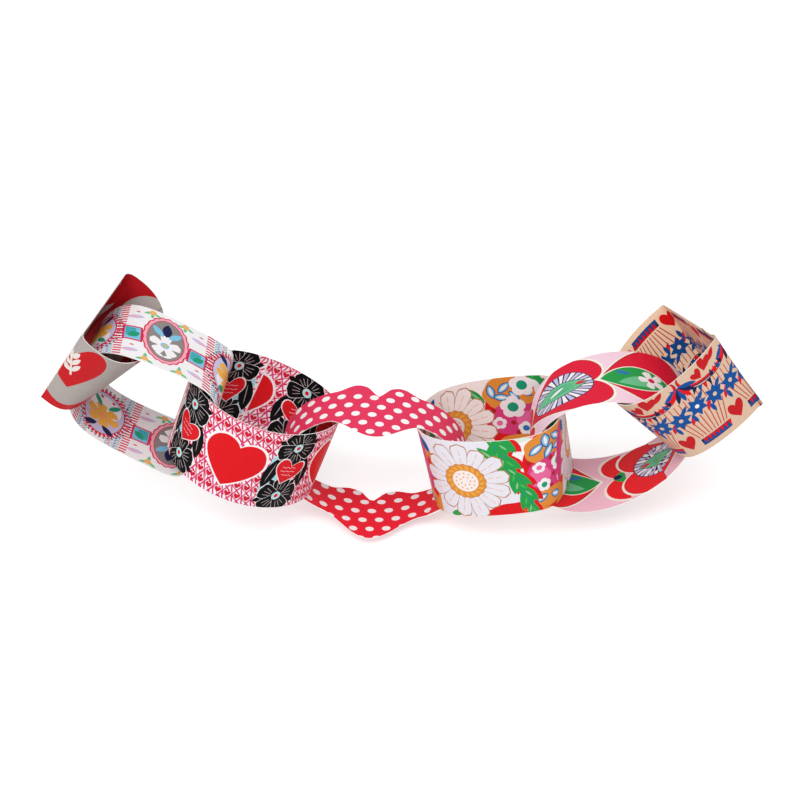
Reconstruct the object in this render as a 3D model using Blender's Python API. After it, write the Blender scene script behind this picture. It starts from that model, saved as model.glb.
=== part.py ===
"""Paper chain garland: seven strips of printed card, each closed into a ring by a glued lap and
looped through the next one. It hangs as a swag between its two end links, whose outer sides are
pressed flat for the tape that holds them. Metres, +Z up, +X along the swag, -Y towards the room.
The origin is the middle of the flat on the first link."""

import math
from dataclasses import dataclass
from typing import Optional

import bpy
import numpy as np
from mathutils import Matrix, Vector
from mathutils.bvhtree import BVHTree

# Sizes of the card strips
STRIP_LENGTH = 0.203
STRIP_WIDTH = 0.040
CARD = 0.0003
GLUED_LAP = 0.012

# How far back the outer end starts to ride over the inner one, and the run of a cut end
LAP_RAMP = 0.004
CUT_RUN = 0.0001

# The scalloped strip: both its bands are cut like a pair of lips, with narrow necks between them.
# The necks lie off the middle of the strip, towards the side with the bow
LIPS_STRIP_LENGTH = 0.219
NECK_WIDTH = 0.022
NECK_OFFSET = 0.003
LOWER_LIP_DROP = 0.015
LOWER_LIP_REACH = 0.022
BOW_HEIGHT = 0.0035
BOW_PEAK_AT = 0.0095
BOW_REACH = 0.009
BOW_NOTCH = 0.0055
BOW_NOTCH_REACH = 0.0045

# How gently the card turns at the ends of a pressed flat
CREASE_REACH = 0.0025

# Stations along a strip, and points on the fine curve that they are read from
STATIONS = 112
LIPS_STATIONS = 176
FINE_POINTS = 1440
CARD_ROUGHNESS = 0.45

# How a link's place in the link before it is found: the first stride, and how often it is halved
STRIDE = 0.001
HALVINGS = 24


@dataclass
class Flat:
    """A side of a ring pressed flat: the way it faces, in degrees round the ring, and its distance
    from the ring's middle, which is negative where the flat lies past the middle."""
    facing: float
    distance: float


@dataclass
class Link:
    """One paper ring. Step is how it hangs from the link before it: how far it stays clear of it,
    in millimetres, then the way to its middle, as a descent and a swing away from the room in
    degrees. Lean, yaw and roll turn it, in degrees. The rest shapes the ring: its short over its
    long half-axis, its egg and squareness as shares of the long one, and the flare of its wall in
    degrees, all round, along the chain and across it. Angles round a ring start where the chain
    goes on and turn away from the room, or upwards where the ring opens towards the room."""
    node: str
    colour: tuple
    step: tuple
    turns: tuple
    roundness: float
    egg: float
    squareness: float
    flare: tuple
    lap_ends_at: float
    opens_up: bool = True
    lips: bool = False
    flat: Optional[Flat] = None


LINKS = [
    Link("link_1_cameo_red", (0.72, 0.10, 0.11), step=(0.0, 0.0, 0.0), turns=(37.3, -12.7, 7.8),
         roundness=0.791, egg=-0.251, squareness=-0.038, flare=(8.0, 3.1, 1.2), lap_ends_at=261.5,
         flat=Flat(facing=179.0, distance=-0.0032)),
    Link("link_2_white_medallions", (0.90, 0.89, 0.88), step=(0.7938, 35.1, -13.9),
         turns=(20.7, -14.2, 6.4), roundness=0.846, egg=-0.111, squareness=0.073,
         flare=(0.6, 4.3, 5.6), lap_ends_at=340.0, opens_up=False),
    Link("link_3_heart_trellis", (0.84, 0.22, 0.40), step=(0.7879, 21.5, -8.9),
         turns=(22.6, 14.3, -0.8), roundness=0.840, egg=0.047, squareness=-0.008,
         flare=(1.3, -4.5, -1.7), lap_ends_at=170.0),
    Link("link_4_dotted_lips", (0.86, 0.08, 0.15), step=(0.5906, 16.9, 0.2),
         turns=(3.4, -3.5, -0.3), roundness=0.691, egg=0.0, squareness=0.006,
         flare=(-1.9, 1.4, 2.9), lap_ends_at=340.0, opens_up=False, lips=True),
    Link("link_5_daisies", (0.93, 0.86, 0.84), step=(0.5714, -7.1, 0.1),
         turns=(-10.5, -7.9, -5.5), roundness=0.905, egg=-0.090, squareness=0.049,
         flare=(2.8, 2.4, -7.7), lap_ends_at=170.0),
    Link("link_6_pink_hearts", (0.93, 0.60, 0.68), step=(0.6147, -6.9, 5.8),
         turns=(-3.0, 13.4, -3.4), roundness=0.728, egg=0.068, squareness=0.005,
         flare=(0.4, -15.5, -0.9), lap_ends_at=340.0, opens_up=False),
    Link("link_7_tan_bunting", (0.77, 0.58, 0.42), step=(0.6030, -29.5, 15.6),
         turns=(-36.4, -24.7, -2.9), roundness=1.307, egg=0.046, squareness=-0.029,
         flare=(4.8, 0.1, -7.6), lap_ends_at=102.0, flat=Flat(facing=49.3, distance=0.0125)),
]


def strip_length(link):
    return LIPS_STRIP_LENGTH if link.lips else STRIP_LENGTH


def ring_length(link):
    """Length of the middle of the card round a ring that is closed by the plain lap."""
    return strip_length(link) - GLUED_LAP


def length_of(path):
    return np.hypot(*(np.roll(path[:, :2], -1, axis=0) - path[:, :2]).T).sum()


def spread_evenly(path):
    """The same closed path with its points at even distances."""
    closed = np.vstack([path, path[:1]])
    gaps = np.hypot(*np.diff(closed[:, :2], axis=0).T)
    along = np.concatenate([[0.0], np.cumsum(gaps)])
    even = np.linspace(0.0, along[-1], FINE_POINTS, endpoint=False)
    return np.column_stack([np.interp(even, along, column) for column in closed.T])


def soften(path, reach):
    """Rounds the corners of an evenly spread closed path, and leaves its straight runs straight."""
    steps = int(round(reach / length_of(path) * len(path)))
    window = np.hanning(2 * steps + 3)[1:-1]
    window /= window.sum()
    wrapped = np.vstack([path[-steps:], path, path[:steps]])
    return np.column_stack([np.convolve(column, window, mode="valid") for column in wrapped.T])


def press_flat(path, flat):
    """Pushes what lies beyond the flat back onto it, with one flare all over it."""
    facing = np.radians(flat.facing)
    normal = np.array([np.cos(facing), np.sin(facing)])
    beyond = np.maximum(path[:, :2] @ normal - flat.distance, 0.0)
    pressed = path.copy()
    pressed[:, :2] -= beyond[:, None] * normal
    pressed[beyond > 0.0, 2] = path[beyond > 0.0, 2].mean()
    return soften(spread_evenly(pressed), CREASE_REACH)


def ring_path(link):
    """Middle of the card seen along the ring's axis: x, y and the flare, at even distances."""
    angle = np.linspace(0.0, 2.0 * np.pi, FINE_POINTS, endpoint=False)
    x = np.cos(angle) + link.egg * np.cos(2.0 * angle) - link.squareness * np.cos(3.0 * angle)
    y = link.roundness * np.sin(angle) + link.squareness * np.sin(3.0 * angle)
    flare = np.radians(link.flare[0] + link.flare[1] * np.cos(angle) + link.flare[2] * np.sin(angle))
    path = np.column_stack([x, y, flare])
    path[:, :2] *= ring_length(link) / length_of(path)
    if link.flat:
        return press_flat(path, link.flat)
    return spread_evenly(path)


def bump(distance, reach):
    """A smooth rise from 0 at the reach to 1 in the middle."""
    share = np.clip(np.abs(distance) / reach, 0.0, 1.0)
    return np.cos(0.5 * np.pi * share) ** 2


def lips_edges(along, length):
    """How far the scalloped strip reaches to the room and to the wall, at places along the ring.
    Along is counted from the middle of one band, and the other band is half a length away."""
    from_band = np.abs((along + 0.25 * length) % (0.5 * length) - 0.25 * length)
    lower = 0.5 * NECK_WIDTH - NECK_OFFSET + LOWER_LIP_DROP * bump(from_band, LOWER_LIP_REACH)
    notch = BOW_NOTCH * np.maximum(1.0 - from_band / BOW_NOTCH_REACH, 0.0)
    bow = BOW_HEIGHT * bump(from_band - BOW_PEAK_AT, BOW_REACH)
    upper = 0.5 * NECK_WIDTH + NECK_OFFSET + bow - notch
    return lower, upper


def card_faces(along, lap, length):
    """Offsets of the card's outer and inner face from the middle of a single layer. The strip
    starts at 0 as the inner layer, and its other end rides over it as far as the lap's end."""
    half = 0.5 * CARD
    outer = np.interp(along, [0.0, lap, lap + CUT_RUN, length - LAP_RAMP, length],
                      [half + CARD, half + CARD, half, half, half + CARD])
    inner = np.interp(along, [0.0, length - LAP_RAMP, length - CUT_RUN, length],
                      [-half, -half, half, -half])
    return outer, inner


class Strip:
    """The card of one link in its own frame: x along the chain, z across the width of the strip."""

    def __init__(self, link):
        self.link = link
        self.path = ring_path(link)
        self.length = length_of(self.path)
        self.lap = strip_length(link) - self.length
        angles = np.degrees(np.arctan2(self.path[:, 1], self.path[:, 0]))
        self.lap_end = self.place_of(link.lap_ends_at, angles)
        self.band = self.place_of(90.0, angles)

    def place_of(self, angle, angles):
        """Distance along the path of the point that lies at an angle round the ring."""
        off = np.abs((angles - angle + 180.0) % 360.0 - 180.0)
        return np.argmin(off) / len(angles) * self.length

    def read(self, distance):
        """Place, outward normal and flare at distances along the path."""
        closed = np.vstack([self.path, self.path[:1]])
        fine = np.linspace(0.0, self.length, len(closed))
        place = np.column_stack([np.interp(distance % self.length, fine, c) for c in closed.T])
        heading = np.roll(self.path[:, :2], -1, axis=0) - np.roll(self.path[:, :2], 1, axis=0)
        heading = np.vstack([heading, heading[:1]])
        tangent = np.column_stack([np.interp(distance % self.length, fine, c) for c in heading.T])
        tangent /= np.hypot(*tangent.T)[:, None]
        return place[:, :2], np.column_stack([tangent[:, 1], -tangent[:, 0]]), place[:, 2]

    def stations(self):
        """Distances from the inner end of the strip, with one at each step of the lap."""
        steps = [0.0, self.lap, self.lap + CUT_RUN, self.length - LAP_RAMP, self.length - CUT_RUN]
        count = LIPS_STATIONS if self.link.lips else STATIONS
        even = np.linspace(0.0, self.length, count, endpoint=False)
        clear = self.length / count * 0.4
        kept = [place for place in even if min(abs(place - step) for step in steps) > clear]
        return np.array(sorted(kept + steps))

    def edges(self, distance):
        """Half-widths towards the room or downwards, and the other way, at distances on the path."""
        if self.link.lips:
            return lips_edges(distance - self.band, self.length)
        half = np.full(len(distance), 0.5 * STRIP_WIDTH)
        return half, half

    def rails(self):
        """The four edges of the closed card: outer and inner face, each at both rims."""
        along = self.stations()
        distance = along - self.lap + self.lap_end
        place, normal, flare = self.read(distance)
        low, high = self.edges(distance)
        if self.link.lips or not self.link.opens_up:
            low, high = high, low
        across = np.column_stack([np.sin(flare)[:, None] * normal, np.cos(flare)])
        facing = np.column_stack([np.cos(flare)[:, None] * normal, -np.sin(flare)])
        middle = np.column_stack([place, np.zeros(len(along))])
        outer, inner = card_faces(along, self.lap, self.length)
        return [middle + face[:, None] * facing + edge[:, None] * across
                for face in (outer, inner) for edge in (-low, high)]

    def flat_middle(self):
        """Middle of the outer face of the pressed flat, and the way it faces."""
        facing = math.radians(self.link.flat.facing)
        normal = np.array([math.cos(facing), math.sin(facing)])
        pressed = self.path[self.path[:, :2] @ normal > self.link.flat.distance - 0.1 * CARD]
        middle = pressed.mean(axis=0)
        flare = middle[2]
        direction = Vector((math.cos(flare) * normal[0], math.cos(flare) * normal[1], -math.sin(flare)))
        return Vector((middle[0], middle[1], 0.0)) + 1.5 * CARD * direction, direction


def card_material(link):
    material = bpy.data.materials.new(link.node)
    material.use_nodes = True
    shader = material.node_tree.nodes["Principled BSDF"]
    shader.inputs["Base Color"].default_value = (*link.colour, 1.0)
    shader.inputs["Roughness"].default_value = CARD_ROUGHNESS
    shader.inputs["Metallic"].default_value = 0.0
    return material


def closed_card(strip):
    """Mesh of the closed strip: its two faces, and the cut edge along each rim."""
    rails = strip.rails()
    count = len(rails[0])
    outer_low, outer_high, inner_low, inner_high = (count * rail for rail in range(4))
    faces = []
    for here in range(count):
        there = (here + 1) % count
        for first, second in ((outer_low, outer_high), (outer_high, inner_high),
                              (inner_high, inner_low), (inner_low, outer_low)):
            faces.append((first + here, first + there, second + there, second + here))
    mesh = bpy.data.meshes.new(strip.link.node)
    mesh.from_pydata(np.vstack(rails).tolist(), [], faces)
    mesh.materials.append(card_material(strip.link))
    mesh.shade_smooth()
    mesh.set_sharp_from_angle(angle=math.radians(40.0))
    mesh.validate()
    return mesh


def turned(link):
    lean, yaw, roll = (math.radians(angle) for angle in link.turns)
    upright = 0.0 if link.opens_up else 0.5 * math.pi
    return (roll + upright, lean, yaw)


def turn_matrix(link):
    about_x, about_y, about_z = turned(link)
    return (Matrix.Rotation(about_y, 3, "Y") @ Matrix.Rotation(about_z, 3, "Z")
            @ Matrix.Rotation(about_x, 3, "X"))


def surface_of(ring, middle):
    """Corners of a ring's mesh with its middle at a place, and the tree that finds what is near."""
    turn = turn_matrix(ring.link)
    corners = [turn @ vertex.co + middle for vertex in ring.mesh.vertices]
    faces = [tuple(face.vertices) for face in ring.mesh.polygons]
    return corners, BVHTree.FromPolygons(corners, faces)


def clearance(one, other):
    """Least distance between two surfaces, or -1 where they cross."""
    if one[1].overlap(other[1]):
        return -1.0
    return min(tree.find_nearest(corner)[3]
               for corners, tree in ((one[0], other[1]), (other[0], one[1])) for corner in corners)


def hung_from(before, before_middle, ring):
    """Where a ring's middle lies when it hangs as far along its way as it stays clear. The search
    starts too far out and comes in past the places where the two rings would cross."""
    wanted, descent, swing = ring.link.step
    down, aside = math.radians(descent), math.radians(swing)
    way = Vector((math.cos(down) * math.cos(aside), math.cos(down) * math.sin(aside), -math.sin(down)))
    held = surface_of(before, before_middle)
    distance = (ring_length(before.link) + ring_length(ring.link)) / (2.0 * math.pi)

    def is_clear(at):
        return clearance(held, surface_of(ring, before_middle + at * way)) >= 0.001 * wanted

    while is_clear(distance):
        distance -= STRIDE
    while not is_clear(distance):
        distance -= STRIDE
    stride = STRIDE
    for _ in range(HALVINGS):
        stride *= 0.5
        if is_clear(distance + stride):
            distance += stride
    return before_middle + distance * way


def clear_scene():
    for item in list(bpy.data.objects):
        bpy.data.objects.remove(item, do_unlink=True)


class Ring:
    """A closed link: its strip and the mesh of its card."""

    def __init__(self, link):
        self.link = link
        self.strip = Strip(link)
        self.mesh = closed_card(self.strip)


def build_garland():
    """Every link in place, from the one whose flat is at the origin."""
    rings = [Ring(link) for link in LINKS]
    flat, _ = rings[0].strip.flat_middle()
    middle = -(turn_matrix(LINKS[0]) @ flat)
    placed = []
    for number, ring in enumerate(rings):
        if number:
            middle = hung_from(rings[number - 1], middle, ring)
        item = bpy.data.objects.new(ring.link.node, ring.mesh)
        item.rotation_mode = "XZY"
        item.rotation_euler = turned(ring.link)
        item.location = middle
        bpy.context.collection.objects.link(item)
        placed.append(item)
    return placed


clear_scene()
GARLAND = build_garland()
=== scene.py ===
"""Paper chain garland: the printed card of the seven links, drawn flat in millimetres, cut into fields
of ink and bent round each ring where the CAD model has it. A pale floor, soft light and a camera."""

import math
from dataclasses import dataclass
from typing import Optional

import bpy
import numpy as np
from mathutils import Matrix, Vector
from mathutils.geometry import delaunay_2d_cdt


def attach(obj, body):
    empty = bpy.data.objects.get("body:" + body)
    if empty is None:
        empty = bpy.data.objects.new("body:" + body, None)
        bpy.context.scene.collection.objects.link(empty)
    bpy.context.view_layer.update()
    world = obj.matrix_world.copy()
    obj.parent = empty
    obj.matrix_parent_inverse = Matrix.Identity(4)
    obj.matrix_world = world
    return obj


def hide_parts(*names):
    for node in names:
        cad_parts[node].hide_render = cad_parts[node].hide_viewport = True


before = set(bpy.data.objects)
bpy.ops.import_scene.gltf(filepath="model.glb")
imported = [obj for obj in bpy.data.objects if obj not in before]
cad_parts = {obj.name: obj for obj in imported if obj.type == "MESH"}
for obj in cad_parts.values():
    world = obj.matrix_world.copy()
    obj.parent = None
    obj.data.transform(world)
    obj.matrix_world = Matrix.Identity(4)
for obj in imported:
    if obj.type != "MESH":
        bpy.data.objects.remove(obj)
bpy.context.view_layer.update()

# Sizes of the card strips, as in the CAD model, in metres
STRIP_LENGTH = 0.203
STRIP_WIDTH = 0.040
CARD = 0.0003
GLUED_LAP = 0.012
LAP_RAMP = 0.004
LIPS_STRIP_LENGTH = 0.219
NECK_WIDTH = 0.022
NECK_OFFSET = 0.003
LOWER_LIP_DROP = 0.015
LOWER_LIP_REACH = 0.022
BOW_HEIGHT = 0.0035
BOW_PEAK_AT = 0.0095
BOW_REACH = 0.009
BOW_NOTCH = 0.0055
BOW_NOTCH_REACH = 0.0045
CREASE_REACH = 0.0025
FINE_POINTS = 1440

# Longest run of one flat piece of card along the ring, and the finest detail of a print, in mm
COLUMN_MM = 1.7
MERGE_MM = 0.002
MM = 0.001

# How far past a strip's ends, and across it, the outlines of a print are kept, in mm
PAST_ENDS = 1.0
CLIP_ACROSS = 26.0

# Height of a block that covers a strip from edge to edge, in mm
FULL_WIDTH = 44.0
SIDES = (-1.0, 1.0)


@dataclass
class Flat:
    """A side of a ring pressed flat: the way it faces, in degrees, and its distance from the middle."""
    facing: float
    distance: float


@dataclass
class Link:
    """One paper ring, with the same values as in the CAD model. Only its step differs: here it is the
    way from the middle of the link before it, as a distance, a descent and a swing in degrees."""
    node: str
    slot: str
    step: tuple
    turns: tuple
    roundness: float
    egg: float
    squareness: float
    flare: tuple
    lap_ends_at: float
    opens_up: bool = True
    lips: bool = False
    flat: Optional[Flat] = None


LINKS = [
    Link("link_1_cameo_red", "cameo_red_card", step=(0.0, 0.0, 0.0), turns=(37.3, -12.7, 7.8),
         roundness=0.791, egg=-0.251, squareness=-0.038, flare=(8.0, 3.1, 1.2), lap_ends_at=261.5,
         flat=Flat(facing=179.0, distance=-0.0032)),
    Link("link_2_white_medallions", "white_medallion_card", step=(0.04153, 35.1, -13.9),
         turns=(20.7, -14.2, 6.4), roundness=0.846, egg=-0.111, squareness=0.073,
         flare=(0.6, 4.3, 5.6), lap_ends_at=340.0, opens_up=False),
    Link("link_3_heart_trellis", "heart_trellis_card", step=(0.04304, 21.5, -8.9),
         turns=(22.6, 14.3, -0.8), roundness=0.840, egg=0.047, squareness=-0.008,
         flare=(1.3, -4.5, -1.7), lap_ends_at=170.0),
    Link("link_4_dotted_lips", "dotted_red_card", step=(0.05430, 16.9, 0.2),
         turns=(3.4, -3.5, -0.3), roundness=0.691, egg=0.0, squareness=0.006,
         flare=(-1.9, 1.4, 2.9), lap_ends_at=340.0, opens_up=False, lips=True),
    Link("link_5_daisies", "daisy_card", step=(0.05468, -7.1, 0.1),
         turns=(-10.5, -7.9, -5.5), roundness=0.905, egg=-0.090, squareness=0.049,
         flare=(2.8, 2.4, -7.7), lap_ends_at=170.0),
    Link("link_6_pink_hearts", "pink_heart_card", step=(0.04377, -6.9, 5.8),
         turns=(-3.0, 13.4, -3.4), roundness=0.728, egg=0.068, squareness=0.005,
         flare=(0.4, -15.5, -0.9), lap_ends_at=340.0, opens_up=False),
    Link("link_7_tan_bunting", "tan_bunting_card", step=(0.04450, -29.5, 15.6),
         turns=(-36.4, -24.7, -2.9), roundness=1.307, egg=0.046, squareness=-0.029,
         flare=(4.8, 0.1, -7.6), lap_ends_at=102.0, flat=Flat(facing=49.3, distance=0.0125)),
]

# Inks of the prints, as they look in even white light, and the bare card at a cut edge. The deep red is
# print, except as the ground inside the cameo ring, where it is the cameo red darkened with painted shade
INKS = {
    "edge": "FBF8F4", "red": "DE0E19", "deep_red": "B3131C", "crimson": "D8214B", "cameo_red": "C6161E",
    "heart_red": "EE1420", "deep_crimson": "CF1638", "heart_crimson": "E21036", "dot_red": "EE0C2C",
    "dot_crimson": "E8345E", "stone": "B0A7A3", "bone": "E6E1DA", "porcelain": "F4F1F3",
    "rose": "F3A9BC", "grey": "8D8684", "lilac": "C8C2E4", "teal": "3FA9B4", "blue": "2C72BE",
    "royal": "084E98", "navy": "1C2350", "sky": "7EC4E4", "turquoise": "BCE4E8", "yellow": "F0B245",
    "green": "1F9E48", "jade": "169A74", "mint": "6CC48F", "leaf_pale": "8CC98F",
    "leaf_bright": "3DBB4F", "leaf_wash": "DCEBD6", "magenta": "DC3C7C", "pink": "FBD6E6",
    "pink_within": "F6C3D4", "pale_pink": "F9DDE2", "hot_pink": "EC6AA0", "petal": "F7F2F4",
    "dot_white": "FFFCFC", "petal_cool": "ECE9F2", "petal_pink": "FDF0ED", "cream": "FBF3E6",
    "orange": "E48F38", "pumpkin": "F2A45C", "brown": "B9753C", "black": "07060B", "tan": "DFBEA4",
    "warm_tan": "FCDDBE", "line_red": "C22A24",
}


# The bent card: the same formulas as in the CAD model

def strip_length(link):
    return LIPS_STRIP_LENGTH if link.lips else STRIP_LENGTH


def ring_length(link):
    return strip_length(link) - GLUED_LAP


def length_of(path):
    return np.hypot(*(np.roll(path[:, :2], -1, axis=0) - path[:, :2]).T).sum()


def spread_evenly(path):
    """The same closed path with its points at even distances."""
    closed = np.vstack([path, path[:1]])
    gaps = np.hypot(*np.diff(closed[:, :2], axis=0).T)
    along = np.concatenate([[0.0], np.cumsum(gaps)])
    even = np.linspace(0.0, along[-1], FINE_POINTS, endpoint=False)
    return np.column_stack([np.interp(even, along, column) for column in closed.T])


def soften(path, reach):
    """Rounds the corners of an evenly spread closed path, and leaves its straight runs straight."""
    steps = int(round(reach / length_of(path) * len(path)))
    window = np.hanning(2 * steps + 3)[1:-1]
    window /= window.sum()
    wrapped = np.vstack([path[-steps:], path, path[:steps]])
    return np.column_stack([np.convolve(column, window, mode="valid") for column in wrapped.T])


def press_flat(path, flat):
    """Pushes what lies beyond the flat back onto it, with one flare all over it."""
    facing = np.radians(flat.facing)
    normal = np.array([np.cos(facing), np.sin(facing)])
    beyond = np.maximum(path[:, :2] @ normal - flat.distance, 0.0)
    pressed = path.copy()
    pressed[:, :2] -= beyond[:, None] * normal
    pressed[beyond > 0.0, 2] = path[beyond > 0.0, 2].mean()
    return soften(spread_evenly(pressed), CREASE_REACH)


def ring_path(link):
    """Middle of the card seen along the ring's axis: x, y and the flare, at even distances."""
    angle = full_turn(FINE_POINTS)
    x = np.cos(angle) + link.egg * np.cos(2.0 * angle) - link.squareness * np.cos(3.0 * angle)
    y = link.roundness * np.sin(angle) + link.squareness * np.sin(3.0 * angle)
    flare = np.radians(link.flare[0] + link.flare[1] * np.cos(angle) + link.flare[2] * np.sin(angle))
    path = np.column_stack([x, y, flare])
    path[:, :2] *= ring_length(link) / length_of(path)
    if link.flat:
        return press_flat(path, link.flat)
    return spread_evenly(path)


def bump(distance, reach):
    """A smooth rise from 0 at the reach to 1 in the middle."""
    share = np.clip(np.abs(distance) / reach, 0.0, 1.0)
    return np.cos(0.5 * np.pi * share) ** 2


def lips_edges(along, length):
    """How far the scalloped strip reaches to the room and to the wall, at places along the ring."""
    from_band = np.abs((along + 0.25 * length) % (0.5 * length) - 0.25 * length)
    lower = 0.5 * NECK_WIDTH - NECK_OFFSET + LOWER_LIP_DROP * bump(from_band, LOWER_LIP_REACH)
    notch = BOW_NOTCH * np.maximum(1.0 - from_band / BOW_NOTCH_REACH, 0.0)
    bow = BOW_HEIGHT * bump(from_band - BOW_PEAK_AT, BOW_REACH)
    upper = 0.5 * NECK_WIDTH + NECK_OFFSET + bow - notch
    return lower, upper


class Strip:
    """The card of one link in its own frame. Places along it are counted from a mark: the middle of
    the wall that faces the room on a ring that opens up, the middle of the upper band on the rest."""

    def __init__(self, link):
        self.link = link
        self.path = ring_path(link)
        self.length = length_of(self.path)
        self.lap = strip_length(link) - self.length
        angles = np.degrees(np.arctan2(self.path[:, 1], self.path[:, 0]))
        self.mark = self.place_of(270.0 if link.opens_up else 90.0, angles)
        self.band = self.place_of(90.0, angles)
        self.lap_end = self.place_of(link.lap_ends_at, angles) - self.mark

    def place_of(self, angle, angles):
        """Distance along the path of the point that lies at an angle round the ring."""
        off = np.abs((angles - angle + 180.0) % 360.0 - 180.0)
        return np.argmin(off) / len(angles) * self.length

    def read(self, distance):
        """Place, outward normal and flare at distances along the path."""
        closed = np.vstack([self.path, self.path[:1]])
        fine = np.linspace(0.0, self.length, len(closed))
        place = np.column_stack([np.interp(distance % self.length, fine, c) for c in closed.T])
        heading = np.roll(self.path[:, :2], -1, axis=0) - np.roll(self.path[:, :2], 1, axis=0)
        heading = np.vstack([heading, heading[:1]])
        tangent = np.column_stack([np.interp(distance % self.length, fine, c) for c in heading.T])
        tangent /= np.hypot(*tangent.T)[:, None]
        return place[:, :2], np.column_stack([tangent[:, 1], -tangent[:, 0]]), place[:, 2]

    def span(self, outside):
        """First and last place of a face along the strip, from the mark."""
        first = self.lap_end if outside else self.lap_end - self.lap
        return first, first + self.length

    def edges(self, place):
        """Lowest and highest place across the strip, at places from the mark."""
        if not self.link.lips:
            half = np.full(len(place), 0.5 * STRIP_WIDTH)
            return -half, half
        lower, upper = lips_edges(place + self.mark - self.band, self.length)
        return -upper, lower

    def offset(self, place, outside):
        """Height of a face of the card over the middle of a single layer."""
        half = 0.5 * CARD
        first, last = self.span(outside)
        lap_starts = self.lap_end - self.lap + self.length
        if outside:
            return np.interp(place, [lap_starts - LAP_RAMP, lap_starts], [half, half + CARD])
        return np.interp(place, [last - LAP_RAMP, last], [-half, half])

    def bend(self, place, across, outside=None, height=None):
        """Points in the link's frame, with the way the card faces and the way across it."""
        middle, normal, flare = self.read(place + self.mark)
        way_across = np.column_stack([np.sin(flare)[:, None] * normal, np.cos(flare)])
        facing = np.column_stack([np.cos(flare)[:, None] * normal, -np.sin(flare)])
        if height is None:
            height = self.offset(place, outside)
        flat_place = np.column_stack([middle, np.zeros(len(place))])
        points = flat_place + height[:, None] * facing + across[:, None] * way_across
        return points, facing, way_across


def upright_turns(link):
    lean, yaw, roll = (math.radians(angle) for angle in link.turns)
    upright = 0.0 if link.opens_up else 0.5 * math.pi
    return (roll + upright, lean, yaw)


def turn_matrix(link):
    about_x, about_y, about_z = upright_turns(link)
    return (Matrix.Rotation(about_y, 3, "Y") @ Matrix.Rotation(about_z, 3, "Z")
            @ Matrix.Rotation(about_x, 3, "X"))


def step_from(link):
    """The way from the middle of the link before."""
    distance, descent, swing = link.step
    down, aside = math.radians(descent), math.radians(swing)
    way = Vector((math.cos(down) * math.cos(aside), math.cos(down) * math.sin(aside), -math.sin(down)))
    return distance * way


def flat_middle(strip):
    """Middle of the outer face of a pressed flat, in the link's frame."""
    facing = math.radians(strip.link.flat.facing)
    normal = np.array([math.cos(facing), math.sin(facing)])
    pressed = strip.path[strip.path[:, :2] @ normal > strip.link.flat.distance - 0.1 * CARD]
    x, y, flare = pressed.mean(axis=0)
    direction = Vector((math.cos(flare) * normal[0], math.cos(flare) * normal[1], -math.sin(flare)))
    return Vector((x, y, 0.0)) + 1.5 * CARD * direction


# Outlines of single shapes, in mm

def full_turn(count):
    return np.linspace(0.0, 2.0 * np.pi, count, endpoint=False)


def turned(points, x, y, degrees=0.0):
    angle = math.radians(degrees)
    spin = np.array([[math.cos(angle), math.sin(angle)], [-math.sin(angle), math.cos(angle)]])
    return np.asarray(points, dtype=float) @ spin + (x, y)


def around(x, y, reach, degrees):
    """The point at a distance and a direction from another."""
    way = math.radians(degrees)
    return x + reach * math.cos(way), y + reach * math.sin(way)


def ellipse(x, y, width, height, degrees=0.0, count=28):
    turn = full_turn(count)
    return turned(np.column_stack([0.5 * width * np.cos(turn), 0.5 * height * np.sin(turn)]), x, y, degrees)


def disc(x, y, size, count=20):
    return ellipse(x, y, size, size, 0.0, count)


def block(x, y, width, height, degrees=0.0):
    w, h = 0.5 * width, 0.5 * height
    return turned([(-w, -h), (w, -h), (w, h), (-w, h)], x, y, degrees)


def heart(x, y, width, height, degrees=0.0, count=32, fullness=2.1):
    """A plain heart, its tip down. The nearer its fullness is to 1, the blunter it is."""
    turn = full_turn(count)
    across = 0.5 * width * np.sign(np.sin(turn)) * np.abs(np.sin(turn)) ** fullness
    up = 13.0 * np.cos(turn) - 5.0 * np.cos(2 * turn) - 2.0 * np.cos(3 * turn) - np.cos(4 * turn)
    up = (up - 0.5 * (up.max() + up.min())) / np.ptp(up)
    return turned(np.column_stack([across, up * height]), x, y, degrees)


def plump_heart(x, y, width, length, degrees=0.0, count=14):
    """A heart with nearly straight sides, a wide tip and two round lobes, its tip down."""
    half, tip = 0.5 * width, -0.5 * length
    shoulder = tip + 0.64 * length
    lobe_x, rise = 0.443 * half, 0.36 * length
    reach = half - lobe_x
    turn = np.linspace(0.0, math.acos(-lobe_x / reach), count)
    lobe = np.column_stack([lobe_x + reach * np.cos(turn), shoulder + rise * np.sin(turn)])
    run = np.linspace(0.0, 1.0, 8)[:-1, None]
    corner = np.array([half, tip + 0.40 * length])
    side = (1.0 - run) ** 2 * (0.0, tip) + 2.0 * run * (1.0 - run) * corner + run ** 2 * (half, shoulder)
    right = np.vstack([side, lobe])
    left = (right * (-1.0, 1.0))[::-1][1:-1]
    return turned(np.vstack([right, left]), x, y, degrees)


def two_sided(along, rise):
    """An outline that rises as far on both sides of its length, with its end point once."""
    return np.vstack([np.column_stack([along, rise]), np.column_stack([along, -rise])[::-1][1:]])


def leaf(x, y, length, width, degrees=0.0, count=9):
    """A pointed leaf that lies along its length."""
    run = np.linspace(0.0, 1.0, count)
    rise = 0.5 * width * np.sin(np.pi * run) ** 0.8
    return turned(two_sided((run - 0.5) * length, rise)[:-1], x, y, degrees)


def petal(x, y, start, reach, width, degrees, count=11):
    """A blunt petal that runs from start to reach away from a flower's middle."""
    run = np.linspace(0.0, 1.0, count)
    rise = 0.5 * width * (0.42 + 0.58 * run) * np.sqrt(np.maximum(1.0 - run ** 7, 0.0))
    return turned(two_sided(start + (reach - start) * run, rise), x, y, degrees)


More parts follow.
